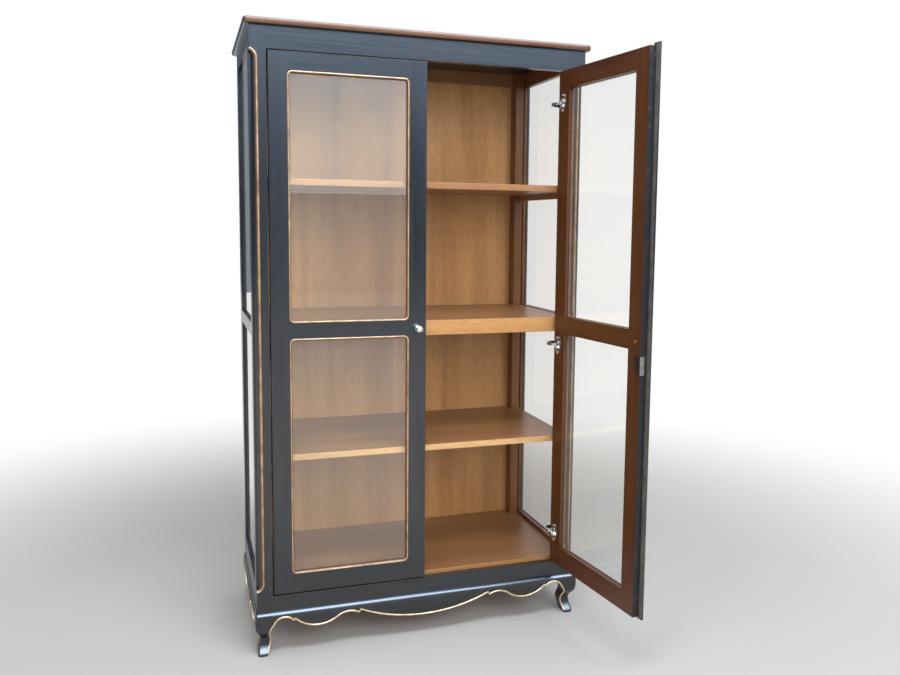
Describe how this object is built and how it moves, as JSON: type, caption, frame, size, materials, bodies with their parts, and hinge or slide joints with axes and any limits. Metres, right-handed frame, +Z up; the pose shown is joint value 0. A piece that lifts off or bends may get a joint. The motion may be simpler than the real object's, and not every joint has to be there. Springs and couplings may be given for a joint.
{
  "type": "glazed bookcase",
  "caption": "Tall bookcase with glazed doors on concealed hinges, glazed sides, inner shelves and a scalloped stand on curved legs.",
  "frame": {"origin": "on the floor, under the middle of the carcass's width and depth", "axes": "+Z up, -Y out of the front with the doors, +X to the right as seen from the front"},
  "size_m": [1.088, 0.9954, 1.9],
  "materials": {
    "black_paint": "black semi-gloss paint on wood with thin gold lines",
    "brown_wood": "brown stained and varnished wood",
    "glass": "clear float glass",
    "hinge_metal": "nickel plated",
    "knob_metal": "aged polished metal",
    "lock_metal": "dark steel"
  },
  "bodies": {
    "carcass": {"top_board": "brown_wood", "front_frieze": "black_paint", "front_bottom_rail": "black_paint", "back_rails": "brown_wood", "back_panel": "brown_wood", "right_front_post": "black_paint", "left_front_post": "black_paint", "right_rear_post": "black_paint", "left_rear_post": "black_paint", "right_side_bottom_rail": "black_paint", "left_side_bottom_rail": "black_paint", "right_side_middle_rail": "black_paint", "left_side_middle_rail": "black_paint", "right_side_top_rail": "black_paint", "left_side_top_rail": "black_paint", "right_side_glass": "glass", "left_side_glass": "glass", "side_glass_beads": "brown_wood", "bottom_board": "brown_wood", "lower_shelf": "brown_wood", "middle_shelf": "brown_wood", "upper_shelf": "brown_wood", "middle_shelf_rail": "brown_wood", "shelf_cleats": "brown_wood", "front_apron": "black_paint", "right_apron": "black_paint", "left_apron": "black_paint", "back_apron": "black_paint", "right_front_leg": "black_paint", "left_front_leg": "black_paint", "right_rear_leg": "black_paint", "left_rear_leg": "black_paint", "hinge_arms": "hinge_metal"},
    "left_door": {"left_hinge_stile": "black_paint", "left_free_stile": "black_paint", "left_bottom_rail": "black_paint", "left_middle_rail": "black_paint", "left_top_rail": "black_paint", "left_lower_glass": "glass", "left_upper_glass": "glass", "left_glass_beads": "brown_wood", "left_hinge_cups": "hinge_metal", "left_knob": "knob_metal", "left_lock_strike": "lock_metal"},
    "right_door": {"right_hinge_stile": "black_paint", "right_free_stile": "black_paint", "right_bottom_rail": "black_paint", "right_middle_rail": "black_paint", "right_top_rail": "black_paint", "right_lower_glass": "glass", "right_upper_glass": "glass", "right_glass_beads": "brown_wood", "right_hinge_cups": "hinge_metal", "right_knob": "knob_metal", "right_meeting_strip": "black_paint", "right_lock_case": "lock_metal", "right_key_plate": "lock_metal"},
    "left_links": {"left_hinge_links": "hinge_metal"},
    "right_links": {"right_hinge_links": "hinge_metal"},
    "lock_bolt": {"right_lock_bolt": "lock_metal"}
  },
  "joints": [
    {"name": "left_link_swing", "type": "hinge", "parent": "carcass", "child": "left_links", "pos_m": [-0.431, -0.225, 1], "axis": [0, 0, -1], "range_deg": [-45.05, 0.05]},
    {"name": "left_door_swing", "type": "hinge", "parent": "left_links", "child": "left_door", "pos_m": [-0.467, -0.242, 1], "axis": [0, 0, -1], "range_deg": [0, 145]},
    {"name": "right_link_swing", "type": "hinge", "parent": "carcass", "child": "right_links", "pos_m": [0.431, -0.225, 1], "axis": [0, 0, 1], "range_deg": [-1.6, 43.45]},
    {"name": "right_door_swing", "type": "hinge", "parent": "right_links", "child": "right_door", "pos_m": [0.44546, -0.26209, 1], "axis": [0, 0, 1], "range_deg": [-139.93, 5.08]},
    {"name": "lock_bolt_slide", "type": "slide", "parent": "right_door", "child": "lock_bolt", "axis": [0.1132, -0.9936, 0], "range_m": [0, 0.008]}
  ],
  "couplings": [
    {"joint": "left_link_swing", "follows": "left_door_swing", "ratio": -0.31034},
    {"joint": "right_link_swing", "follows": "right_door_swing", "ratio": -0.31034}
  ]
}
